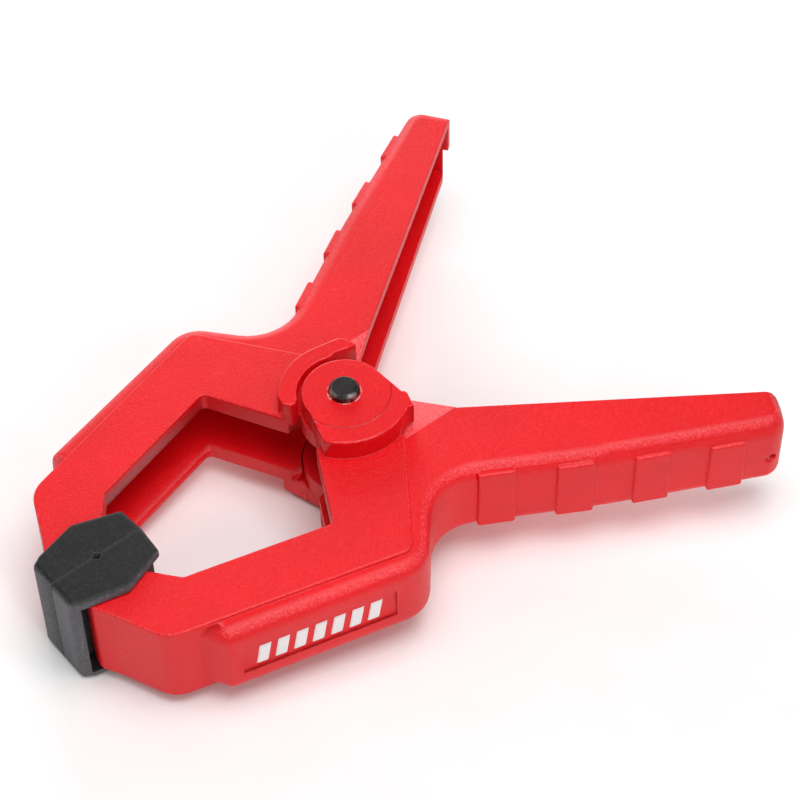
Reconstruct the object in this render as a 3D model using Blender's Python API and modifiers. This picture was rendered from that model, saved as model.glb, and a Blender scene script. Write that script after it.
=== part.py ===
"""Hand spring clamp: two moulded arms, a steel pivot pin, a torsion spring and two jaw pads.

The two arms are the same moulding. The near arm is the far arm turned half a turn about the
clamp's long axis. Origin: centre of the pivot pin's lower end face. The jaws point to -X, the
handles to +X, and +Z runs up the pivot. Every size below is in millimetres.
"""
import math

import bmesh
import bpy
from mathutils import Matrix, Vector

MM = 0.001

# ---------------------------------------------------------------- driving dimensions, in mm
PLATE_H = 25.0            # height of the jaw plates, over both flanges
EAR_H = 6.0               # how far the outer pivot ears and the crescents stand off the plates
PIN_PROUD = 2.0           # pivot pin beyond the outer ears
GAP = 0.3                 # running clearance between neighbours
BODY_STEP = 1.1           # the body and handle lie this far inside the plates' faces
JAW_FLANGE = 5.2          # flange thickness of the jaw
HANDLE_FLANGE = 2.8       # flange thickness of the handle
JAW_WALL = 3.4            # outer wall of the jaw
HANDLE_WALL = 2.4         # outer wall and end wall of the handle
SHOULDER_R = 3.8          # round along the body's and handle's outer edges
SHOULDER_GROWTH = 0.65    # how much deeper the lower shoulder is at the handle's tip
RIM_R = 0.6               # small round along the plates', ears' and crescents' edges

PIN_R = 3.6
PIN_CHAMFER = 0.8
PIN_HOLE_R = PIN_R + GAP
EAR_R = 10.6              # outer ear's disc
INNER_EAR_R = 11.2        # ear at flange level, under the other arm's outer ear
RECESS_R = 11.7           # the other arm's flange and crescent clear that ear
BAND_R = 16.4             # outer radius of the band and of the crescent

JAW_OPEN = math.radians(14.6)      # slope of the jaw's outer side
INNER_ANGLE = math.radians(35.4)   # direction of the handle's inner edge
HANDLE_ROOT = (21.2, 16.9)         # where the inner edge starts
UPPER_END = (87.4, 63.6)           # inner corner of the end, on the upper flange
LOWER_END = (85.8, 64.0)           # the same on the lower flange, which is narrower
UPPER_CUT, LOWER_CUT = 1.2, 3.2    # length over which those corners are rounded

RIB_COUNT = 4
RIB_PITCH, RIB_LENGTH = 17.0, 8.2  # both measured along X
RIB_PROUD = 0.8
FIRST_RIB_X = 12.6                 # where the first rib starts
RIB_FOOT, RIB_RISE = 2.4, 1.1      # foot of the first rib, and how much higher each next one is
RIB_TOP, RIB_ROUNDS = 22.5, (0.7, 0.8)
RIB_ROOT = 1.7                     # how far a rib's block reaches into the wall
HANG_HOLE_R = 1.5
BADGE_LENGTH, BADGE_DEPTH = 39.6, 0.5   # shallow panel in the body's outer wall
BADGE_LOW, BADGE_HIGH = 8.2, 17.6

WIRE_R = 1.3
COIL_R = 6.7
LEG_ANGLE = math.radians(48)       # direction of each spring leg from +X, with the jaws shut
COIL_TURNS = 4.5 - LEG_ANGLE / math.pi
COIL_LOW, COIL_HIGH = 6.9, 18.1
LEG_LENGTH = 45.0
COIL_POINTS = 72

PAD_PLATE = 2.3
PAD_CLEAR = 0.4
PAD_BACK = 3.2                     # thickness of the pad's gripping bar
SWIVEL = (-74.0, 9.5)              # pad's swivel axis on the far jaw
TRUNNION_R, TRUNNION_H = 1.6, 1.3
PAD_RIM = 1.5                      # round along the pad's outer edges
GROOVE_X, GROOVE_HALF = -74.1, 1.2 # place, and half width and depth, of the pad's vee groove

ARC_STEP = math.radians(11)        # turn between neighbouring points of an arc
SMALLEST_R = 0.25                  # least radius left where an outline moves inwards

PIN_LOW = -EAR_H - PIN_PROUD
PIN_HIGH = PLATE_H + EAR_H + PIN_PROUD
RISE = -PIN_LOW                    # lifts the model so that the pin stands on z = 0

RED = (0.72, 0.018, 0.025, 1.0)
BLACK = (0.012, 0.012, 0.013, 1.0)
BLACK_OXIDE = (0.03, 0.03, 0.032, 1.0)
SPRING_STEEL = (0.45, 0.44, 0.42, 1.0)


# ---------------------------------------------------------------- scene, collections, materials
for old in list(bpy.data.objects):
    bpy.data.objects.remove(old, do_unlink=True)


def new_collection(name):
    """Make a collection under the scene's own."""
    made = bpy.data.collections.new(name)
    bpy.context.scene.collection.children.link(made)
    return made


PARTS = new_collection("spring_clamp")
CUTTERS = new_collection("cutters")


def principled(name, colour, roughness, metallic=0.0):
    """A Principled BSDF material."""
    mat = bpy.data.materials.new(name)
    mat.use_nodes = True
    shader = mat.node_tree.nodes["Principled BSDF"]
    shader.inputs["Base Color"].default_value = colour
    shader.inputs["Roughness"].default_value = roughness
    shader.inputs["Metallic"].default_value = metallic
    return mat


NYLON = principled("red_nylon", RED, 0.45)
RUBBER = principled("black_rubber", BLACK, 0.6)
PIN_STEEL = principled("black_oxide_steel", BLACK_OXIDE, 0.35, 1.0)
WIRE_STEEL = principled("spring_steel", SPRING_STEEL, 0.3, 1.0)


# ---------------------------------------------------------------- outlines and solids
def polar(radius, angle):
    """Point at a radius and an angle in radians."""
    return (radius * math.cos(angle), radius * math.sin(angle))


def rounded(corners, step=ARC_STEP):
    """Outline through (x, y, radius) corners; each corner becomes an arc of its radius."""
    outline = []
    count = len(corners)
    for i, (x, y, radius) in enumerate(corners):
        here = Vector((x, y))
        if radius == 0:
            outline.append(here)
            continue
        before = (Vector(corners[i - 1][:2]) - here).normalized()
        after = (Vector(corners[(i + 1) % count][:2]) - here).normalized()
        half = before.angle(after) / 2
        centre = here + (before + after).normalized() * radius / math.sin(half)
        start = here + before * radius / math.tan(half) - centre
        end = here + after * radius / math.tan(half) - centre
        turn = start.angle_signed(end)
        pieces = max(1, math.ceil(abs(turn) / step))
        for k in range(pieces + 1):
            outline.append(centre + Matrix.Rotation(-turn * k / pieces, 2) @ start)
    return outline


def arc(radius, start_deg, end_deg, step_deg=9.0):
    """Points on an arc about the pivot axis."""
    pieces = max(1, math.ceil(abs(end_deg - start_deg) / step_deg))
    turn = math.radians(end_deg - start_deg) / pieces
    return [Vector(polar(radius, math.radians(start_deg) + turn * k)) for k in range(pieces + 1)]


def link(name, mesh, material, cutter=False):
    """Put a mesh in the scene, as a part or as a cutter."""
    obj = bpy.data.objects.new(name, mesh)
    obj.data.materials.append(material)
    if cutter:
        CUTTERS.objects.link(obj)
        obj.hide_render = True
        obj.display_type = "WIRE"
    else:
        PARTS.objects.link(obj)
    return obj


def prism(name, outline, low, high):
    """Solid between two heights over a flat outline, from a filled 2D curve."""
    curve = bpy.data.curves.new(name, "CURVE")
    curve.dimensions = "2D"
    curve.fill_mode = "BOTH"
    curve.extrude = (high - low) / 2 * MM
    spline = curve.splines.new("POLY")
    spline.points.add(len(outline) - 1)
    for point, place in zip(spline.points, outline):
        point.co = (place[0] * MM, place[1] * MM, 0.0, 1.0)
    spline.use_cyclic_u = True
    flat = bpy.data.objects.new(name + "_curve", curve)
    PARTS.objects.link(flat)
    flat.location.z = ((low + high) / 2 + RISE) * MM
    bpy.context.view_layer.update()
    mesh = bpy.data.meshes.new_from_object(flat.evaluated_get(bpy.context.evaluated_depsgraph_get()))
    mesh.transform(flat.matrix_world)
    bpy.data.objects.remove(flat)
    mesh.materials.clear()
    return close_mesh(name, mesh)


def close_mesh(name, mesh):
    """Weld a curve's loose caps, turn its faces outwards and make it a cutter."""
    work = bmesh.new()
    work.from_mesh(mesh)
    bmesh.ops.remove_doubles(work, verts=work.verts, dist=0.00001)
    bmesh.ops.recalc_face_normals(work, faces=work.faces)
    work.to_mesh(mesh)
    work.free()
    return link(name, mesh, NYLON, cutter=True)


def cylinder(name, radius, low, high, centre=(0.0, 0.0), sides=48):
    """Upright cylinder between two heights."""
    mesh = bpy.data.meshes.new(name)
    work = bmesh.new()
    bmesh.ops.create_cone(work, cap_ends=True, segments=sides, radius1=radius * MM,
                          radius2=radius * MM, depth=(high - low) * MM)
    work.to_mesh(mesh)
    work.free()
    middle = Vector((centre[0], centre[1], (low + high) / 2 + RISE)) * MM
    mesh.transform(Matrix.Translation(middle))
    return link(name, mesh, NYLON, cutter=True)


def moved_inwards(corners, distance):
    """Corners of a parallel outline inside this one; an arc keeps its centre while it can."""
    count = len(corners)
    area = sum(corners[i - 1][0] * corners[i][1] - corners[i][0] * corners[i - 1][1]
               for i in range(count))
    side = math.copysign(1.0, area)
    inner = []
    for i, (x, y, radius) in enumerate(corners):
        here = Vector((x, y))
        into = (here - Vector(corners[i - 1][:2])).normalized()
        away = (Vector(corners[(i + 1) % count][:2]) - here).normalized()
        normals = [Vector((-d.y, d.x)) * side for d in (into, away)]
        place = here + (normals[0] + normals[1]) * distance / (1 + normals[0].dot(normals[1]))
        if radius:
            convex = (into.x * away.y - into.y * away.x) * side > 0
            radius = max(radius - distance, SMALLEST_R) if convex else radius + distance
        inner.append((place.x, place.y, radius))
    return inner


def block(name, corners, low, high, rounds, segments=2, growth=None, cutter=True):
    """Solid between two heights with rounded rims: parallel outlines lofted up a quarter circle,
    a wall and another quarter circle. rounds holds the lower and the upper radius, and growth
    gives how deep a round is at a place, against its radius."""
    rings = []
    for end, radius in zip((low, high), rounds):
        turns = [math.pi / 2 * k / segments for k in range(segments + 1)] if radius else [0.0]
        for turn in (reversed(turns) if end == low else turns):
            depth = radius * (1 - math.sin(turn))
            outline = rounded(moved_inwards(corners, radius * (1 - math.cos(turn))))
            scales = [growth(p, end == high) if growth else 1.0 for p in outline]
            rings.append([(p.x, p.y, end + (depth if end == low else -depth) * scale)
                          for p, scale in zip(outline, scales)])
    mesh = bpy.data.meshes.new(name)
    work = bmesh.new()
    loops = [[work.verts.new(Vector((x, y, z + RISE)) * MM) for x, y, z in ring] for ring in rings]
    count = len(loops[0])
    for lower, upper in zip(loops, loops[1:]):
        for i in range(count):
            j = (i + 1) % count
            work.faces.new((lower[i], lower[j], upper[j], upper[i]))
    work.faces.new(loops[0])
    work.faces.new(loops[-1])
    bmesh.ops.recalc_face_normals(work, faces=work.faces)
    work.to_mesh(mesh)
    work.free()
    return link(name, mesh, NYLON, cutter)


def combine(target, other, operation):
    """Apply one exact Boolean to a target and remove the tool."""
    step = target.modifiers.new(operation.lower(), "BOOLEAN")
    step.operation = operation
    step.solver = "EXACT"
    step.object = other
    bpy.context.view_layer.update()
    graph = bpy.context.evaluated_depsgraph_get()
    mesh = bpy.data.meshes.new_from_object(target.evaluated_get(graph))
    target.modifiers.clear()
    target.data = mesh
    bpy.data.objects.remove(other)


def join(target, *others):
    """Unite solids with a target."""
    for other in others:
        combine(target, other, "UNION")


def cut(target, *others):
    """Cut solids from a target."""
    for other in others:
        combine(target, other, "DIFFERENCE")


def finish(obj, material):
    """Give a part its material, and smooth shading with sharp edges."""
    obj.data.materials.clear()
    obj.data.materials.append(material)
    obj.data.shade_smooth()
    obj.data.set_sharp_from_angle(angle=math.radians(35))


# ---------------------------------------------------------------- handle geometry
END_OUT = Vector((81.0, 72.8))            # outer corner of the handle's end
BODY_CORNER = Vector((-13.5, 48.9))       # outer corner of the body
WAIST = Vector((2.7, 29.9))               # where body and handle meet
KNEE = Vector((40.0, 51.6))               # slight bend of the handle's outer wall


def on_wall(along_x, offset=0.0):
    """Point on the handle's outer wall at a given X, moved outwards by an offset."""
    start, end = (WAIST, KNEE) if along_x < KNEE.x else (KNEE, END_OUT)
    along = (end - start).normalized()
    return start + along * (along_x - start.x) / along.x + Vector((-along.y, along.x)) * offset


def beyond_inner_edge(point, distance):
    """Point moved from the handle's inner edge into the gap between the handles."""
    return Vector(point) + Vector((math.sin(INNER_ANGLE), -math.cos(INNER_ANGLE))) * distance


def with_radius(point, radius):
    """Corner for rounded(): a point and its radius."""
    return (point[0], point[1], radius)


# ---------------------------------------------------------------- arm
def jaw_plate(name):
    """Flat C of the jaw, full plate height, from the crowned tip round to the pivot."""
    return block(name, [
        (-69.6, 5.3, 1.2), (-61.0, 16.0, 1.2), (-24.5, 26.0, 1.8), (-13.5, 5.6, 0.8),
        (-4.0, 4.5, 0), (4.0, 6.0, 0), (5.5, 16.5, 0), (-14.7, 44.3, 3.4),
        (-74.2, 27.9, 7.5), (-80.3, 14.0, 5.0), (-82.9, 9.6, 2.5), (-82.0, 5.7, 1.2),
        (-78.0, 4.1, 0), (-74.0, 3.6, 0)], 0, PLATE_H, (RIM_R, RIM_R), cutter=False)


def shoulder_depth(place, upper):
    """Depth of a shoulder against its radius: the lower one deepens from the waist to the tip."""
    if upper:
        return 1.0
    return 1 + SHOULDER_GROWTH * max(0.0, place.x - WAIST.x) / (END_OUT.x - WAIST.x)


def gap_cutter(name, end, low, high, corner_cut):
    """Space between the handles: bounded by the inner edge from its root to its end corner,
    which is rounded over a given length."""
    end = Vector(end)
    back = end + (Vector(HANDLE_ROOT) - end).normalized() * corner_cut
    up = end + (END_OUT - end).normalized() * corner_cut
    corner = [back.lerp(end, t).lerp(end.lerp(up, t), t) for t in (1.0, 0.75, 0.5, 0.25, 0.0)]
    return prism(name, [Vector((4.0, 4.2)), beyond_inner_edge((0.0, -4.0), 30.0),
                        Vector((120.0, 20.0)), Vector((120.0, 80.0))] + corner
                 + [Vector(HANDLE_ROOT), Vector((12.0, 10.1))], low, high)


def body_and_handle(name):
    """Narrower body outside the jaw and the tapering handle, with rounded shoulders."""
    inner_line = 7.0
    solid = block(name, [
        (-62.0, 20.0, 0), (-66.6, 30.0, 0), (-63.2, 36.0, 2.2), with_radius(BODY_CORNER, 9.0),
        with_radius(WAIST, 13.0), with_radius(KNEE, 60.0), with_radius(END_OUT, 4.6),
        with_radius(UPPER_END, 0),
        with_radius(beyond_inner_edge(Vector(UPPER_END) - Vector((2.0, 2.0)), inner_line), 0),
        with_radius(beyond_inner_edge((12.0, 10.1), inner_line), 0),
        (4.0, 6.0, 0), (-20.0, 32.0, 0)], BODY_STEP, PLATE_H - BODY_STEP,
        (SHOULDER_R, SHOULDER_R), 5, shoulder_depth)
    middle = PLATE_H / 2
    cut(solid, gap_cutter("upper_gap", UPPER_END, middle, PLATE_H + 5, UPPER_CUT),
        gap_cutter("lower_gap", LOWER_END, -5, middle + 0.01, LOWER_CUT))
    return solid


def channel(name):
    """Hollow of the jaw and body, open to the throat and round the pivot."""
    body_wall = Vector((BODY_CORNER.x - 1.5, BODY_CORNER.y - JAW_WALL - 0.4))
    waist_in = WAIST - Vector((1.6, 3.2))
    return prism(name, rounded([
        (-60.0, 8.0, 0), (-69.5, 17.0, 2.0), (-71.5, 24.8, 2.0), (-63.0, 27.2, 0),
        (-60.5, 33.2, 1.5), with_radius(body_wall, 8.0), with_radius(waist_in, 12.0),
        with_radius(on_wall(KNEE.x, -HANDLE_WALL), 0),
        (50.0, 20.0, 0), (12.0, -14.0, 0), (-16.0, -14.0, 0), (-30.0, 14.0, 0)]),
        JAW_FLANGE, PLATE_H - JAW_FLANGE)


def handle_channel(name):
    """Deeper hollow of the handle, open to the gap between the handles."""
    inner = Vector(UPPER_END) - Vector(polar(HANDLE_WALL, INNER_ANGLE))
    outer = END_OUT - Vector(polar(HANDLE_WALL + 0.5, INNER_ANGLE))
    return prism(name, rounded([
        with_radius(on_wall(14.0, -HANDLE_WALL), 0), with_radius(on_wall(KNEE.x, -HANDLE_WALL), 0),
        with_radius(on_wall(outer.x - 0.2, -HANDLE_WALL - 1.0), 2.5),
        with_radius(beyond_inner_edge(inner, 6.0), 0),
        with_radius(beyond_inner_edge(HANDLE_ROOT, 6.0), 0),
        (17.0, 9.0, 0), (10.0, 12.0, 0)]),
        BODY_STEP + HANDLE_FLANGE, PLATE_H - BODY_STEP - HANDLE_FLANGE)


def outer_ear(name):
    """Teardrop disc and band that carries the pin outside the other arm's ear."""
    outline = arc(EAR_R, 182.0, 360.0)
    outline += [Vector((11.0, 8.8)), Vector((11.6, 9.2)), Vector((11.7, 10.2)), Vector((10.3, 14.2))]
    outline += arc(BAND_R, 58.0, 146.0)
    return block(name, [with_radius(p, 0) for p in outline], -EAR_H, 0.6, (RIM_R, 0.0))


def crescent(name):
    """Raised guard round the other arm's outer ear."""
    outline = arc(BAND_R, 145.0, 75.0)
    outline += [Vector((9.9, 14.8)), Vector((10.9, 13.8)), Vector((11.8, 10.2)), Vector((9.0, 10.6))]
    outline += [Vector((6.0, 11.4))]
    outline += arc(RECESS_R, 70.0, 152.0)
    outline += [Vector((-11.6, 4.6)), Vector((-13.0, 5.0)), Vector((-14.0, 6.6))]
    return block(name, [with_radius(p, 0) for p in outline], PLATE_H - 1.8, PLATE_H + EAR_H,
                 (0.0, RIM_R))


def facet_cutter(name, side):
    """Wedge that slopes a flange down towards the gap; side is 1 for the top, -1 for the bottom."""
    line_y, slope = HANDLE_ROOT[1] - 0.1, math.radians(11)
    face = PLATE_H - BODY_STEP if side > 0 else BODY_STEP
    mesh = bpy.data.meshes.new(name)
    work = bmesh.new()
    bmesh.ops.create_cube(work, size=1.0)
    work.to_mesh(mesh)
    work.free()
    length, depth, height = 26.0, 24.0, 8.0
    mesh.transform(Matrix.Diagonal((length * MM, depth * MM, height * MM, 1.0)))
    mesh.transform(Matrix.Translation(Vector((0, -depth / 2, side * height / 2)) * MM))
    mesh.transform(Matrix.Rotation(side * slope, 4, "X"))
    mesh.transform(Matrix.Translation(Vector((5.5 + length / 2, line_y, face + RISE)) * MM))
    return link(name, mesh, NYLON, cutter=True)


def grip_rib(name, number):
    """One raised finger rib on the outer wall of the handle."""
    start = FIRST_RIB_X + RIB_PITCH * number
    end = start + RIB_LENGTH
    corners = [with_radius(on_wall(start, -RIB_ROOT), 0), with_radius(on_wall(start, RIB_PROUD), 0.6),
               with_radius(on_wall(end, RIB_PROUD), 0.6), with_radius(on_wall(end, -RIB_ROOT), 0)]
    return block(name, corners, RIB_FOOT + RIB_RISE * number, RIB_TOP, RIB_ROUNDS)


def moulded_arm(name):
    """The far arm, in place: flange-level ear and crescent on top, outer ear below."""
    arm = jaw_plate(name)
    join(arm, cylinder("inner_ear", INNER_EAR_R, 12.0, PLATE_H - 0.05))
    join(arm, body_and_handle("body"))
    extension = prism("lower_flange", [Vector(p) for p in (
        (3.0, 14.0), (21.4, 16.9), (15.5, 7.1), (11.0, 2.6), (2.0, 8.0))], BODY_STEP, 12.0)
    join(arm, extension)
    cut(arm, channel("jaw_channel"), handle_channel("grip_channel"))
    cut(arm, facet_cutter("top_facet", 1), facet_cutter("bottom_facet", -1))
    join(arm, outer_ear("outer_ear"))
    cut(arm, cylinder("flange_recess", RECESS_R, -GAP, 12.0))
    join(arm, crescent("crescent"))
    cut(arm, cylinder("pin_hole", PIN_HOLE_R, -EAR_H - 4, PLATE_H + EAR_H + 4))
    for number in range(RIB_COUNT):
        join(arm, grip_rib("rib", number))
    for low, high in ((-TRUNNION_H, 3.0), (PLATE_H - 3.0, PLATE_H + TRUNNION_H)):
        join(arm, cylinder("trunnion", TRUNNION_R, low, high, SWIVEL, sides=20))
    hang_hole = cylinder("hang_hole", HANG_HOLE_R, -14.0, 14.0, sides=20)
    place = on_wall(78.2)
    hang_hole.data.transform(Matrix.Translation((0, 0, -RISE * MM)))
    hang_hole.data.transform(Matrix.Rotation(math.radians(90), 4, "X"))
    hang_hole.data.transform(Matrix.Rotation(math.radians(8), 4, "Z"))
    hang_hole.data.transform(Matrix.Translation(Vector((place.x, place.y, 14.6 + RISE)) * MM))
    cut(arm, hang_hole)
    cut(arm, badge_recess("badge_recess"))
    finish(arm, NYLON)
    return arm


def badge_recess(name):
    """Shallow panel in the body's outer wall, left plain."""
    along = Vector((math.cos(JAW_OPEN), math.sin(JAW_OPEN)))
    out = Vector((-along.y, along.x))
    right = BODY_CORNER - along * 8.6
    left = right - along * BADGE_LENGTH
    corners = [left - out * BADGE_DEPTH, right - out * BADGE_DEPTH, right + out * 3.0, left + out * 3.0]
    return prism(name, corners, BADGE_LOW, BADGE_HIGH)


def turned_copy(obj, name):
    """The same solid turned half a turn about the clamp's long axis."""
    mesh = obj.data.copy()
    middle = (PLATE_H / 2 + RISE) * MM
    mesh.transform(Matrix.Translation((0, 0, -middle)))
    mesh.transform(Matrix.Rotation(math.pi, 4, "X"))
    mesh.transform(Matrix.Translation((0, 0, middle)))
    copy = bpy.data.objects.new(name, mesh)
    PARTS.objects.link(copy)
    return copy


# ---------------------------------------------------------------- pads, pin, spring
def jaw_pad(name):
    """U-shaped pad over the far jaw's tip, open towards the arm."""
    low, high = -PAD_CLEAR - PAD_PLATE, PLATE_H + PAD_CLEAR + PAD_PLATE
    half_gap = GAP / 2
    beyond, edge_x, front_x = -4.0, -50.0, -95.0
    pad = block(name, [
        (-87.2, beyond, 0), (-60.7, beyond, 0), (-61.6, 7.8, 1.5),
        (-73.4, 12.0, 2.0), (-84.4, 9.2, 1.6), (-87.2, 7.6, 1.6)], low, high,
        (PAD_RIM, PAD_RIM), 3, cutter=False)
    cut(pad, prism("parting", [Vector(p) for p in (
        (front_x, 2 * beyond), (edge_x, 2 * beyond), (edge_x, half_gap),
        (GROOVE_X + GROOVE_HALF, half_gap), (GROOVE_X, GROOVE_HALF),
        (GROOVE_X - GROOVE_HALF, half_gap), (front_x, half_gap))], low - 1.0, high + 1.0))
    pocket = prism("pocket", rounded([
        (-85.0, PAD_BACK + 1.6, 1.5), (-82.0, PAD_BACK, 0), (-55.0, PAD_BACK, 0),
        (-55.0, 30.0, 0), (-85.0, 30.0, 0)]), -PAD_CLEAR, PLATE_H + PAD_CLEAR)
    cut(pad, pocket)
    depth = TRUNNION_H - PAD_CLEAR + GAP
    upper = PLATE_H + PAD_CLEAR
    for low_end, high_end in ((-PAD_CLEAR - depth, 1.0), (upper - 1.4, upper + depth)):
        cut(pad, cylinder("socket", TRUNNION_R + GAP, low_end, high_end, SWIVEL, sides=20))
    finish(pad, RUBBER)
    return pad


def pivot_pin(name):
    """Steel pin turned from a profile: chamfered at both ends."""
    profile = [(0.0, PIN_HIGH), (PIN_R - PIN_CHAMFER, PIN_HIGH), (PIN_R, PIN_HIGH - PIN_CHAMFER),
               (PIN_R, PIN_LOW + PIN_CHAMFER), (PIN_R - PIN_CHAMFER, PIN_LOW), (0.0, PIN_LOW)]
    mesh = bpy.data.meshes.new(name)
    mesh.from_pydata([(r * MM, 0.0, (z + RISE) * MM) for r, z in profile],
                     [(i, i + 1) for i in range(len(profile) - 1)], [])
    pin = link(name, mesh, PIN_STEEL)
    turned = pin.modifiers.new("turned", "SCREW")
    turned.steps = turned.render_steps = 48
    turned.use_merge_vertices = True
    turned.merge_threshold = 0.00001
    turned.use_smooth_shade = True
    return pin


def torsion_spring(name):
    """Close-wound coil on the pin, with a straight leg into each handle."""
    start = -math.pi / 2 - LEG_ANGLE
    coil = []
    for k in range(COIL_POINTS + 1):
        share = k / COIL_POINTS
        x, y = polar(COIL_R, start - share * COIL_TURNS * 2 * math.pi)
        coil.append(Vector((x, y, COIL_LOW + (COIL_HIGH - COIL_LOW) * share)))
    near_leg = Vector((math.cos(LEG_ANGLE), -math.sin(LEG_ANGLE), 0.0)) * LEG_LENGTH
    far_leg = Vector((math.cos(LEG_ANGLE), math.sin(LEG_ANGLE), 0.0)) * LEG_LENGTH
    points = [coil[0] + near_leg] + coil + [coil[-1] + far_leg]
    curve = bpy.data.curves.new(name, "CURVE")
    curve.dimensions = "3D"
    curve.bevel_depth = WIRE_R * MM
    curve.bevel_resolution = 2
    curve.use_fill_caps = True
    spline = curve.splines.new("POLY")
    spline.points.add(len(points) - 1)
    for point, place in zip(spline.points, points):
        point.co = (place.x * MM, place.y * MM, (place.z + RISE) * MM, 1.0)
    spring = bpy.data.objects.new(name, curve)
    curve.materials.append(WIRE_STEEL)
    PARTS.objects.link(spring)
    return spring


far_arm = moulded_arm("far_arm")
near_arm = turned_copy(far_arm, "near_arm")
far_pad = jaw_pad("far_pad")
near_pad = turned_copy(far_pad, "near_pad")
pivot_pin("pivot_pin")
torsion_spring("torsion_spring")


def place_origin(obj, x, y):
    """Move an object's origin to its joint's axis, leaving the solid where it is."""
    shift = Vector((x, y, PLATE_H / 2 + RISE)) * MM
    obj.data.transform(Matrix.Translation(-shift))
    obj.location = shift


for arm in (far_arm, near_arm):
    place_origin(arm, 0.0, 0.0)
place_origin(far_pad, SWIVEL[0], SWIVEL[1])
place_origin(near_pad, SWIVEL[0], -SWIVEL[1])
far_pad.parent = far_arm
far_pad.matrix_parent_inverse = Matrix.Translation(-far_arm.location)
near_pad.parent = near_arm
near_pad.matrix_parent_inverse = Matrix.Translation(-near_arm.location)
bpy.context.view_layer.update()
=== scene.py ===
"""Spring clamp: the looks of a red glass-filled nylon hand clamp with black jaw pads.

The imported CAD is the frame. The arms and pads are welded, smooth-shaded copies of their solids,
and the pin, the spring and the badge bars are surfaces worked out here. Lengths are in metres,
and +Z runs up the pivot pin.
"""
import math

import bmesh
import bpy
import numpy as np
from mathutils import Matrix, Vector


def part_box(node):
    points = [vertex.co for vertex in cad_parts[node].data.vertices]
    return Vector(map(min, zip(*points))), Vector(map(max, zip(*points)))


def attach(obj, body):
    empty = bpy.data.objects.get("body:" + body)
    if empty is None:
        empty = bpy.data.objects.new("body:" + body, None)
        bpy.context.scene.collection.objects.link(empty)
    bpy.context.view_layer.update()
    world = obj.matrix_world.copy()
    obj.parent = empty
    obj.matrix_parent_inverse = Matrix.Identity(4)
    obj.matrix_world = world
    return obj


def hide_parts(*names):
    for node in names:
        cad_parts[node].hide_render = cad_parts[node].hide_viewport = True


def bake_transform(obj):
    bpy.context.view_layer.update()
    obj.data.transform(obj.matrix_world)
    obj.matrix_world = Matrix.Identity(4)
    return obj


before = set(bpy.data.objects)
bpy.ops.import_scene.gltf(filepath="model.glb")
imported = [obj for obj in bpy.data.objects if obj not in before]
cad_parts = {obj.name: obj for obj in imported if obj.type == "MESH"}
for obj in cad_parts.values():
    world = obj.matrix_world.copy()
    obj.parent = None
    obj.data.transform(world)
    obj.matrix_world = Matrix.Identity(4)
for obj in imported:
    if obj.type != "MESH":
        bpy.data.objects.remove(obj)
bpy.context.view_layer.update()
MM = 0.001

# ------------------------------------------------------------------------------- camera
VIEW_AZIMUTH, VIEW_ELEVATION, VIEW_ROLL = -128.43, 50.10, -1.15      # degrees
VIEW_DISTANCE = 0.6409
VIEW_TARGET = Vector((0.01825, 0.00118, 0.0205))
FIELD_OF_VIEW = 17.95

# ------------------------------------------------------------------------------- the clamp
PIN_LOW, PIN_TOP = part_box("pivot_pin")
PIN_R = (PIN_TOP.x - PIN_LOW.x) / 2 + 0.15 * MM     # a snug fit in the arms
PIN_CHAMFER = 0.8 * MM
PIN_SIDES = 96
MIDDLE = (PIN_LOW.z + PIN_TOP.z) / 2          # height of the plane between the two mouldings
PLATE_H = 25.0 * MM
WITNESS_R = 11.5 * MM                         # shallow turned line round the pivot ear
NYLON_GRAIN, FOIL_GRAIN, RUBBER_GRAIN = 1900.0, 2600.0, 1500.0      # features a metre
FLAT_ANGLE = math.radians(0.4)                # faces that turn less than this are one flat
WELD = 0.002 * MM
SEAT_R = 4.1 * MM                             # pale burr left round the pin when it was driven in
FACET_REACH = 35.0 * MM
FACET_COSINE = math.cos(math.radians(11))     # slope of the facet at the handle's root, which gets a painted highlight

WIRE_R = 1.3 * MM
COIL_R = 6.7 * MM
LEG_ANGLE = math.radians(48)
COIL_TURNS = 4.5 - LEG_ANGLE / math.pi
COIL_LOW, COIL_HIGH = 14.9 * MM, 26.1 * MM
LEG_LENGTH = 45.0 * MM

JAW_SLOPE = math.radians(14.6)                # the jaw's outer wall against +X
BODY_CORNER = Vector((-13.5, 48.9)) * MM
BADGE_END, BADGE_LENGTH = 8.6 * MM, 39.6 * MM
BADGE_MIDDLE = 0.4 * MM                       # panel's centre line from the middle plane
BADGE_DEPTH = 0.5 * MM
SUNK = 0.02 * MM                              # how far a bar's foot lies under its panel
BAR_COUNT, BAR_PITCH = 7, 4.75 * MM
BAR_LENGTH, BAR_HEIGHT, BAR_PROUD, BAR_LEAN = 3.0 * MM, 6.4 * MM, 0.42 * MM, 1.1 * MM

PAD_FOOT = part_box("near_pad")[0]              # the clamp rests on its pin's foot and its pads
FLOOR_GAP = 0.15 * MM
FLOOR_SLOPE = ((PAD_FOOT.z - PIN_LOW.z)
               / (PIN_LOW.x + PIN_CHAMFER - PAD_FOOT.x - 1.0 * MM))
WORLD_STRENGTH = 0.34
SOFTBOXES = (                                 # azimuth and elevation, distance, side, watts
    ("overhead_box", -100, 80, 0.75, 0.50, 3.9),
    ("front_box", -100, 38, 0.80, 0.20, 0.8),
    ("back_box", 62, 18, 0.80, 0.35, 2.2))


# ------------------------------------------------------------------------------- materials
def linear(code):
    """Linear colour, with full alpha, of an sRGB hex code."""
    parts = [int(code[i:i + 2], 16) / 255 for i in (0, 2, 4)]
    return tuple(c / 12.92 if c <= 0.04045 else ((c + 0.055) / 1.055) ** 2.4
                 for c in parts) + (1.0,)


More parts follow.
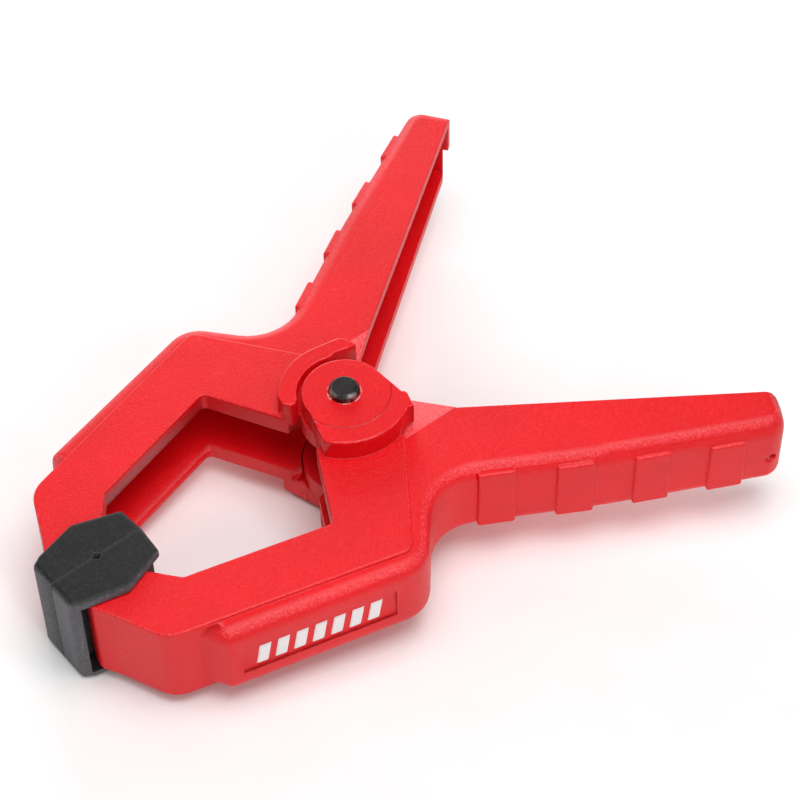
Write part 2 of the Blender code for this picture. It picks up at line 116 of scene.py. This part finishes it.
def add(tree, kind, inputs=(), out=0, **settings):
    """Add a shader node and give back one of its outputs. inputs holds values by place, or by
    name or number in a dict; a value that is a socket is linked. settings are its attributes."""
    node = tree.nodes.new("ShaderNode" + kind)
    for name, value in settings.items():
        setattr(node, name, value)
    for key, value in (inputs if isinstance(inputs, dict) else dict(enumerate(inputs))).items():
        if isinstance(value, bpy.types.NodeSocket):
            tree.links.new(value, node.inputs[key])
        else:
            node.inputs[key].default_value = value
    return node.outputs[out]


def new_material(name, **constants):
    """Material with one Principled shader, whose constants sit on its own sockets."""
    made = bpy.data.materials.new(name)
    made.use_nodes = True
    tree = made.node_tree
    shader = tree.nodes["Principled BSDF"]
    for socket, value in constants.items():
        shader.inputs[socket.replace("_", " ")].default_value = value
    return made, tree, shader, add(tree, "TexCoord", out="Object")


def finish_material(tree, shader, **linked):
    """Link what varies over the surface to the shader."""
    for socket, value in linked.items():
        tree.links.new(value, shader.inputs[socket.replace("_", " ")])


def upright(tree, normal):
    """How level a spot lies: 1 on a flat top or underside, 0 on an upright wall."""
    z = add(tree, "SeparateXYZ", [add(tree, "NewGeometry", out=normal)], "Z")
    return add(tree, "Math", [z], operation="ABSOLUTE")


def edge_wear(tree, radius, low, high):
    """How much a spot lies on an edge: rounded normal against the surface's own, and the
    rounded normal itself."""
    rounded = add(tree, "Bevel", [radius], samples=6)
    match = add(tree, "VectorMath", [rounded, add(tree, "NewGeometry", out="Normal")], "Value",
                operation="DOT_PRODUCT")
    return add(tree, "MapRange", [match, high, low]), rounded


def from_pivot(tree, place):
    """Distance of a spot from the pivot axis."""
    return add(tree, "VectorMath", [add(tree, "VectorMath", [place, (1.0, 1.0, 0.0)],
                                        operation="MULTIPLY")], "Value", operation="LENGTH")


def ring_at(tree, from_axis, radius, inner, outer):
    """1 within inner of a circle round the pivot, and 0 beyond outer."""
    off = add(tree, "Math", [from_axis, radius], operation="SUBTRACT")
    return add(tree, "MapRange", [add(tree, "Math", [off], operation="ABSOLUTE"),
                                  inner, outer, 1.0, 0.0])


def red_nylon():
    """Glass-filled nylon 6 from a spark-eroded mould: an even bright red with a fine pebbled
    grain that scatters highlights, a painted highlight of pale specks on the rounded shoulders
    and rims, smoother on the pivot ears, with faint flow mottling, a pale painted highlight on
    the sloped facet at each handle's root, and thin pale lines where edges are worn."""
    made, tree, shader, place = new_material(
        "glass_filled_nylon_spark_eroded", IOR=1.53, Specular_IOR_Level=0.36)
    from_axis = from_pivot(tree, place)
    above = add(tree, "Math", [add(tree, "SeparateXYZ", [place], "Z"), MIDDLE], operation="SUBTRACT")
    above = add(tree, "Math", [above], operation="ABSOLUTE")
    ear = add(tree, "MapRange", [above, PLATE_H / 2 + 0.4 * MM, PLATE_H / 2 + 1.2 * MM])
    # Spark-eroded grain is about 0.1 mm; it is drawn at 0.5 mm so that it shows.
    grain = add(tree, "TexNoise", {"Vector": place, "Scale": NYLON_GRAIN, "Detail": 2.0, "Roughness": 0.7})
    coarse = add(tree, "TexNoise", {"Vector": place, "Scale": 520.0,
                                    "Detail": 3.0, "Roughness": 0.6})
    flow = add(tree, "TexNoise", {"Vector": place, "Scale": 38.0,
                                  "Detail": 3.0, "Roughness": 0.55})
    wear, rounded = edge_wear(tree, 0.45 * MM, 0.80, 0.985)

    colour = add(tree, "Mix", {0: add(tree, "MapRange", [flow, 0.35, 0.65]),
                               6: linear("E0000C"), 7: linear("EC0012")}, 2, data_type="RGBA")
    colour = add(tree, "Mix", {0: add(tree, "MapRange", [grain, 0.52, 0.74, 0.0, 0.30]),
                               6: colour, 7: linear("FF3A42")}, 2, data_type="RGBA")
    scuff = add(tree, "MapRange", [coarse, 0.35, 0.65, 0.0, 0.26])
    colour = add(tree, "Mix", {0: add(tree, "Math", [wear, scuff], operation="MULTIPLY"),
                               6: colour, 7: linear("FF8488")}, 2, data_type="RGBA")
    # Painted highlight: the sloped facets at the handles' roots are painted pale, known by their slope and
    # by how near the pivot they lie.
    tilt = add(tree, "Math", [upright(tree, "True Normal"), FACET_COSINE], operation="SUBTRACT")
    facet = add(tree, "MapRange", [add(tree, "Math", [tilt], operation="ABSOLUTE"),
                                   0.0025, 0.0035, 1.0, 0.0])
    near = add(tree, "MapRange", [from_axis, FACET_REACH, FACET_REACH + 2 * MM, 1.0, 0.0])
    facet_highlight = add(tree, "Math", [facet, near], operation="MULTIPLY")
    facet_highlight = add(tree, "Math", [facet_highlight, add(tree, "MapRange", [grain, 0.35, 0.65, 0.15, 0.75])],
                operation="MULTIPLY")
    colour = add(tree, "Mix", {0: facet_highlight, 6: colour, 7: linear("FF7076")}, 2, data_type="RGBA")
    # Painted highlight: pale specks of the grain on the rounded shoulders and rims, between level and
    # upright.
    level = upright(tree, "Normal")
    shoulder = add(tree, "Math", [add(tree, "MapRange", [level, 0.50, 0.72]),
                                  add(tree, "MapRange", [level, 0.88, 0.985, 1.0, 0.0])],
                   operation="MULTIPLY")
    highlight_specks = add(tree, "MapRange", [grain, 0.42, 0.62, 0.06, 0.62])
    colour = add(tree, "Mix", {0: add(tree, "Math", [shoulder, highlight_specks], operation="MULTIPLY"),
                               6: colour, 7: linear("FF5C64")}, 2, data_type="RGBA")
    # Pale burr round the pin, and the dark turned line round the ear.
    burr = add(tree, "Math", [ring_at(tree, from_axis, SEAT_R, 0.1 * MM, 0.4 * MM), ear],
               operation="MULTIPLY")
    burr = add(tree, "Math", [burr, add(tree, "MapRange", [coarse, 0.45, 0.6, 0.0, 0.7])],
               operation="MULTIPLY")
    colour = add(tree, "Mix", {0: burr, 6: colour, 7: linear("FFB4B6")}, 2, data_type="RGBA")
    line = add(tree, "Math", [ring_at(tree, from_axis, WITNESS_R, 0.0, 0.22 * MM), ear],
               operation="MULTIPLY")
    colour = add(tree, "Mix", {0: add(tree, "Math", [line, 0.45], operation="MULTIPLY"),
                               6: colour, 7: linear("A00A12")}, 2, data_type="RGBA")

    rough = add(tree, "MapRange", [grain, 0.3, 0.7, 0.34, 0.54])
    rough = add(tree, "Math", [rough, add(tree, "Math", [ear, 0.06], operation="MULTIPLY")],
                operation="SUBTRACT")
    relief = add(tree, "Math", [grain, add(tree, "MapRange", [ear, 0.0, 1.0, 1.0, 0.35])],
                 operation="MULTIPLY")
    relief = add(tree, "Math", [relief, add(tree, "Math", [coarse, 0.6], operation="MULTIPLY")],
                 operation="ADD")
    pebble = add(tree, "Bump", {"Strength": 0.55, "Distance": 0.22 * MM, "Height": relief,
                                "Normal": rounded})
    turned = add(tree, "Bump", {"Strength": 0.7, "Distance": 0.25 * MM, "Height": line,
                                "Normal": pebble}, invert=True)
    finish_material(tree, shader, Base_Color=colour, Roughness=rough, Normal=turned)
    return made


def black_rubber():
    """Moulded black thermoplastic rubber: charcoal and matt with a fine grain, smoother and
    darker on its flat faces, greyer on its drawn side walls, partly a coarser grain and partly a
    painted sheen, with paler worn corners."""
    made, tree, shader, place = new_material(
        "moulded_black_thermoplastic_rubber", IOR=1.5, Specular_IOR_Level=0.35)
    grain = add(tree, "TexNoise", {"Vector": place, "Scale": RUBBER_GRAIN,
                                   "Detail": 2.0, "Roughness": 0.7})
    patch = add(tree, "TexNoise", {"Vector": place, "Scale": 120.0,
                                   "Detail": 2.0, "Roughness": 0.5})
    wear, rounded = edge_wear(tree, 0.5 * MM, 0.78, 0.98)
    # Upright walls are painted greyer and more flecked: partly their coarser drawn grain, partly a painted
    # sheen.
    wall = add(tree, "MapRange", [upright(tree, "Normal"), 0.35, 0.95, 1.0, 0.0])
    colour = add(tree, "Mix", {0: add(tree, "MapRange", [patch, 0.35, 0.65]),
                               6: linear("0E0E0F"), 7: linear("151516")}, 2, data_type="RGBA")
    colour = add(tree, "Mix", {0: wall, 6: colour, 7: linear("525155")}, 2, data_type="RGBA")
    fleck = add(tree, "Math", [add(tree, "MapRange", [grain, 0.50, 0.70]),
                               add(tree, "MapRange", [wall, 0.0, 1.0, 0.05, 0.30])],
                operation="MULTIPLY")
    colour = add(tree, "Mix", {0: fleck, 6: colour, 7: linear("A0A0A4")}, 2, data_type="RGBA")
    colour = add(tree, "Mix", {0: add(tree, "Math", [wear, 0.22], operation="MULTIPLY"),
                               6: colour, 7: linear("9A9AA0")}, 2, data_type="RGBA")
    bump = add(tree, "Bump", {"Strength": 0.4, "Distance": 0.12 * MM, "Height": grain,
                              "Normal": rounded})
    finish_material(tree, shader, Base_Color=colour, Normal=bump,
                    Roughness=add(tree, "MapRange", [grain, 0.3, 0.7, 0.5, 0.68]))
    return made


def black_oxide():
    """Turned steel with a black-oxide finish: dark grey with faint lathe rings on its end, and
    bright metal patches on the chamfer and the rim, partly worn bare and partly a painted highlight."""
    made, tree, shader, place = new_material("black_oxide_turned_steel", Metallic=1.0)
    from_axis = from_pivot(tree, place)
    rings = add(tree, "TexNoise", {"W": from_axis, "Scale": 6000.0, "Detail": 2.0},
                noise_dimensions="1D")
    patch = add(tree, "TexNoise", {"Vector": place, "Scale": 260.0,
                                   "Detail": 2.0, "Roughness": 0.5})
    chamfer_r = PIN_R - PIN_CHAMFER
    chamfer = add(tree, "MapRange", [from_axis, chamfer_r - 0.05 * MM, chamfer_r + 0.25 * MM])
    # Bright patches on the chamfer: partly metal worn bare, partly a painted highlight.
    bare_and_highlight = add(tree, "Math", [chamfer, add(tree, "MapRange", [patch, 0.46, 0.60, 0.08, 0.9])],
                 operation="MULTIPLY")
    colour = add(tree, "Mix", {0: add(tree, "MapRange", [patch, 0.3, 0.7]),
                               6: linear("343232"), 7: linear("454242")}, 2, data_type="RGBA")
    colour = add(tree, "Mix", {0: bare_and_highlight, 6: colour, 7: linear("B8B6B2")}, 2, data_type="RGBA")
    bump = add(tree, "Bump", {"Strength": 0.25, "Distance": 0.02 * MM, "Height": rings})
    finish_material(tree, shader, Base_Color=colour, Normal=bump,
                    Roughness=add(tree, "MapRange", [rings, 0.3, 0.7, 0.34, 0.5]))
    return made


def spring_wire():
    """Cold-drawn spring steel with a thin zinc coat: cool grey, half gloss, faint draw marks."""
    made, tree, shader, place = new_material("cold_drawn_zinc_coated_wire", Metallic=1.0)
    marks = add(tree, "TexNoise", {"Vector": place, "Scale": 700.0,
                                   "Detail": 4.0, "Roughness": 0.6})
    shade = add(tree, "MapRange", [marks, 0.3, 0.7])
    colour = add(tree, "Mix", {0: shade,
                               6: linear("8C8A86"), 7: linear("B4B2AE")}, 2, data_type="RGBA")
    finish_material(tree, shader, Base_Color=colour,
                    Roughness=add(tree, "MapRange", [marks, 0.3, 0.7, 0.28, 0.44]))
    return made


def white_foil():
    """Hot-stamped white foil on the raised bars: near white and slightly glossy, with tiny
    gaps where the grain below shows through."""
    made, tree, shader, place = new_material("hot_stamped_white_foil", IOR=1.48)
    fleck = add(tree, "TexNoise", {"Vector": place, "Scale": FOIL_GRAIN,
                                   "Detail": 3.0, "Roughness": 0.6})
    gaps = add(tree, "MapRange", [fleck, 0.62, 0.74, 0.0, 0.5])
    colour = add(tree, "Mix", {0: gaps,
                               6: linear("F6F1F1"), 7: linear("F0A0A4")}, 2, data_type="RGBA")
    finish_material(tree, shader, Base_Color=colour,
                    Roughness=add(tree, "MapRange", [fleck, 0.3, 0.7, 0.35, 0.5]))
    return made


def studio_paper():
    """Matt white studio paper: almost white, with fibres too fine to see except as faint tone."""
    made, tree, shader, place = new_material("matt_white_paper", Specular_IOR_Level=0.2, Roughness=0.9)
    fibre = add(tree, "TexNoise", {"Vector": place, "Scale": 60.0, "Detail": 3.0})
    fibre = add(tree, "MapRange", [fibre, 0.3, 0.7])
    colour = add(tree, "Mix", {0: fibre,
                               6: linear("FCFCFC"), 7: linear("FFFFFF")}, 2, data_type="RGBA")
    finish_material(tree, shader, Base_Color=colour)
    return made


NYLON, RUBBER, PIN_FINISH = red_nylon(), black_rubber(), black_oxide()
WIRE_FINISH, FOIL, PAPER = spring_wire(), white_foil(), studio_paper()


# ------------------------------------------------------------------------------- meshes
def piece(name, mesh, material, body=None, nodes=()):
    """Object at the origin with one material, riding on its body and standing for CAD nodes."""
    mesh.materials.clear()
    mesh.materials.append(material)
    obj = bpy.data.objects.new(name, mesh)
    bpy.context.scene.collection.objects.link(obj)
    if body:
        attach(obj, body)
    if nodes:
        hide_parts(*nodes)
    return obj


def from_arrays(name, points, faces):
    """Smooth-shaded mesh from an (n, 3) array of points and a list of faces."""
    mesh = bpy.data.meshes.new(name)
    mesh.from_pydata(points.tolist(), [], faces)
    mesh.shade_smooth()
    mesh.update()
    return mesh


def grid_faces(rows, columns, wrap):
    """Quads of a rows x columns grid of points, closed round the columns if wrap is true."""
    r, c = np.meshgrid(np.arange(rows - 1), np.arange(columns if wrap else columns - 1), indexing="ij")
    after = (c + 1) % columns
    quads = np.stack([r * columns + c, r * columns + after,
                      (r + 1) * columns + after, (r + 1) * columns + c], -1)
    return quads.reshape(-1, 4)


def refined(node, name, material, body):
    """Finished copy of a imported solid: its loose triangles are welded, its rounds are shaded
    smooth, and its flats keep their own normals by area weighting."""
    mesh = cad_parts[node].data.copy()
    work = bmesh.new()
    work.from_mesh(mesh)
    bmesh.ops.remove_doubles(work, verts=work.verts, dist=WELD)
    bmesh.ops.dissolve_degenerate(work, edges=work.edges, dist=WELD)
    bmesh.ops.dissolve_limit(work, angle_limit=FLAT_ANGLE, verts=work.verts, edges=work.edges)
    work.to_mesh(mesh)
    work.free()
    mesh.shade_smooth()
    mesh.set_sharp_from_angle(angle=math.radians(50))
    obj = piece(name, mesh, material, body, (node,))
    weighted = obj.modifiers.new("flats", "WEIGHTED_NORMAL")
    weighted.keep_sharp = True
    weighted.weight = 100


def turned_pin(name):
    """Pin turned from a profile. A point is (r cos t, r sin t, z) where (r, z) runs over both
    end faces, chamfers with softened corners, and the barrel, and t goes once round."""
    soft = 0.12 * MM
    half = [(0.0, 0.0), (PIN_R - PIN_CHAMFER - 2 * soft, 0.0), (PIN_R - PIN_CHAMFER - soft, 0.0),
            (PIN_R - PIN_CHAMFER, soft * 0.35), (PIN_R - PIN_CHAMFER + soft, PIN_CHAMFER * 0.3),
            (PIN_R - soft, PIN_CHAMFER * 0.85), (PIN_R, PIN_CHAMFER + soft), (PIN_R, PIN_CHAMFER * 2)]
    profile = np.array([(r, PIN_TOP.z - d) for r, d in half] +
                       [(r, PIN_LOW.z + d) for r, d in reversed(half)])
    turn = np.linspace(0, 2 * math.pi, PIN_SIDES, endpoint=False)
    ring = profile[1:-1]
    r, z = ring[:, :1], ring[:, 1:]
    heights = np.broadcast_to(z, (len(ring), PIN_SIDES))
    points = np.stack([r * np.cos(turn), r * np.sin(turn), heights], -1)
    points = np.concatenate([points.reshape(-1, 3), [(0, 0, PIN_TOP.z), (0, 0, PIN_LOW.z)]])
    faces = grid_faces(len(ring), PIN_SIDES, True)[:, ::-1].tolist()
    here = np.arange(PIN_SIDES)
    after, last = (here + 1) % PIN_SIDES, (len(ring) - 1) * PIN_SIDES
    faces += np.stack([here, after, np.full(PIN_SIDES, len(points) - 2)], -1).tolist()
    faces += np.stack([last + after, last + here, np.full(PIN_SIDES, len(points) - 1)], -1).tolist()
    mesh = from_arrays(name, points, faces)
    mesh.set_sharp_from_angle(angle=math.radians(60))
    return mesh


def swept_wire(name, path, radius, sides=16):
    """Round wire along a path. A point is path(s) + radius (cos a normal(s) + sin a side(s)),
    where normal is the part of Z that is square to the path and side completes the frame."""
    along = np.gradient(path, axis=0)
    along /= np.linalg.norm(along, axis=1, keepdims=True)
    up = np.array([0.0, 0.0, 1.0])
    normal = up - along * (along @ up)[:, None]
    normal /= np.linalg.norm(normal, axis=1, keepdims=True)
    side = np.cross(along, normal)
    a = np.linspace(0, 2 * math.pi, sides, endpoint=False)[None, :, None]
    points = path[:, None] + radius * (np.cos(a) * normal[:, None] + np.sin(a) * side[:, None])
    faces = grid_faces(len(path), sides, True).tolist()
    last = (len(path) - 1) * sides
    faces += [list(range(sides))[::-1], [last + i for i in range(sides)]]
    return from_arrays(name, points.reshape(-1, 3), faces)


def spring_path():
    """Centre line of the torsion spring: a straight leg, a helix of COIL_TURNS that climbs
    evenly, and the other leg. Each leg leaves the coil along its tangent."""
    share = np.linspace(0, 1, 260)
    start = -math.pi / 2 - LEG_ANGLE
    angle = start - share * COIL_TURNS * 2 * math.pi
    coil = np.stack([COIL_R * np.cos(angle), COIL_R * np.sin(angle),
                     COIL_LOW + (COIL_HIGH - COIL_LOW) * share], 1)
    reach = np.linspace(1, 0.02, 24)[:, None] * LEG_LENGTH
    near = coil[0] + reach * np.array([math.cos(LEG_ANGLE), -math.sin(LEG_ANGLE), 0.0])
    far = coil[-1] + reach[::-1] * np.array([math.cos(LEG_ANGLE), math.sin(LEG_ANGLE), 0.0])
    return np.concatenate([near, coil, far])


def badge_bar(name, number, side):
    """One raised slanted bar: a superellipse-edged pillow, u along the wall, v up it. A point
    is centre + u length + v (height + lean) + proud sqrt((1 - |u|^8)(1 - |v|^8)) outwards; side is
    1 for the far arm and -1 for the near arm, whose panel is turned upside down."""
    u, v = np.meshgrid(np.linspace(-1, 1, 17), np.linspace(-1, 1, 25), indexing="ij")
    rise = ((1 - np.abs(u) ** 8) * (1 - np.abs(v) ** 8)) ** 0.5
    along = Vector((math.cos(JAW_SLOPE), math.sin(JAW_SLOPE)))
    out = Vector((-along.y, along.x))
    first = BADGE_END + BADGE_LENGTH / 2 + BAR_PITCH * (BAR_COUNT - 1) / 2
    middle = BODY_CORNER - along * (first - BAR_PITCH * number) - out * BADGE_DEPTH
    run = u * BAR_LENGTH / 2 + v * BAR_LEAN / 2
    proud = rise * BAR_PROUD - SUNK
    points = np.stack([middle.x + run * along.x + proud * out.x,
                       side * (middle.y + run * along.y + proud * out.y),
                       MIDDLE + side * BADGE_MIDDLE + v * BAR_HEIGHT / 2], -1)
    faces = grid_faces(17, 25, False)
    return from_arrays(name, points.reshape(-1, 3), (faces if side < 0 else faces[:, ::-1]).tolist())


def build_clamp():
    """All the visible pieces of the clamp, each on its body except the spring, which rides on none."""
    refined("far_arm", "far_arm_moulding", NYLON, "far_half")
    refined("near_arm", "near_arm_moulding", NYLON, "near_half")
    refined("far_pad", "far_jaw_pad", RUBBER, "far_pad_body")
    refined("near_pad", "near_jaw_pad", RUBBER, "near_pad_body")
    piece("turned_pivot_pin", turned_pin("turned_pivot_pin"), PIN_FINISH, "near_half",
          ("pivot_pin",))
    spring = piece("wound_torsion_spring", swept_wire("wound_torsion_spring", spring_path(), WIRE_R),
                   WIRE_FINISH, None)
    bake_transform(spring)
    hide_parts("torsion_spring")
    for side, body in ((1, "far_half"), (-1, "near_half")):
        for number in range(BAR_COUNT):
            name = f"{body}_badge_bar_{number + 1}"
            piece(name, badge_bar(name, number, side), FOIL, body)


# ------------------------------------------------------------------------------- the set
def place_camera():
    """Camera on a sphere round the target, looking in, with a little roll."""
    azimuth, elevation = math.radians(VIEW_AZIMUTH), math.radians(VIEW_ELEVATION)
    back = Vector((math.cos(elevation) * math.cos(azimuth),
                   math.cos(elevation) * math.sin(azimuth), math.sin(elevation)))
    lens = bpy.data.cameras.new("camera")
    lens.angle = math.radians(FIELD_OF_VIEW)
    lens.clip_start = 0.01
    camera = bpy.data.objects.new("camera", lens)
    bpy.context.scene.collection.objects.link(camera)
    turn = back.to_track_quat("Z", "Y").to_matrix().to_4x4()
    roll = Matrix.Rotation(math.radians(VIEW_ROLL), 4, "Z")
    camera.matrix_world = Matrix.Translation(VIEW_TARGET + back * VIEW_DISTANCE) @ turn @ roll
    bpy.context.scene.camera = camera


def softbox(name, azimuth, elevation, distance, size, watts):
    """Square area light that looks at the clamp from a direction in degrees."""
    az, el = math.radians(azimuth), math.radians(elevation)
    back = Vector((math.cos(el) * math.cos(az), math.cos(el) * math.sin(az), math.sin(el)))
    light = bpy.data.lights.new(name, "AREA")
    light.shape, light.size, light.energy = "SQUARE", size, watts
    obj = bpy.data.objects.new(name, light)
    bpy.context.scene.collection.objects.link(obj)
    obj.matrix_world = (Matrix.Translation(VIEW_TARGET + back * distance)
                        @ back.to_track_quat("Z", "Y").to_matrix().to_4x4())


def light_the_set():
    """White room light, a wide box overhead and to the front, and a low one behind."""
    world = bpy.data.worlds.new("studio")
    world.use_nodes = True
    backdrop = world.node_tree.nodes["Background"]
    backdrop.inputs["Color"].default_value = linear("FFFFFF")
    backdrop.inputs["Strength"].default_value = WORLD_STRENGTH
    bpy.context.scene.world = world
    for name, azimuth, elevation, distance, size, watts in SOFTBOXES:
        softbox(name, azimuth, elevation, distance, size, watts)


def lay_floor():
    """Round sheet of paper under the clamp, tilted to touch the pin's foot and the pads: the
    clamp leans on them. A point is (r cos t, r sin t) with r growing outwards."""
    r, t = np.meshgrid(np.linspace(0.02, 1.6, 12), np.linspace(0, 2 * math.pi, 64, endpoint=False),
                       indexing="ij")
    points = np.stack([r * np.cos(t), r * np.sin(t), np.zeros_like(r)], -1).reshape(-1, 3)
    faces = grid_faces(12, 64, True).tolist() + [list(range(64))[::-1]]
    mesh = from_arrays("paper_floor", points, faces)
    under_pin = PIN_LOW.z + FLOOR_SLOPE * (PIN_LOW.x + PIN_CHAMFER) - FLOOR_GAP
    mesh.transform(Matrix.Translation((0, 0, under_pin))
                   @ Matrix.Rotation(math.atan(FLOOR_SLOPE), 4, "Y"))
    work = bmesh.new()
    work.from_mesh(mesh)
    bmesh.ops.recalc_face_normals(work, faces=work.faces)
    work.to_mesh(mesh)
    work.free()
    piece("paper_floor", mesh, PAPER)


bpy.context.scene.view_settings.view_transform = "Standard"   # keeps the red as saturated as it is
place_camera()
light_the_set()
lay_floor()
build_clamp()
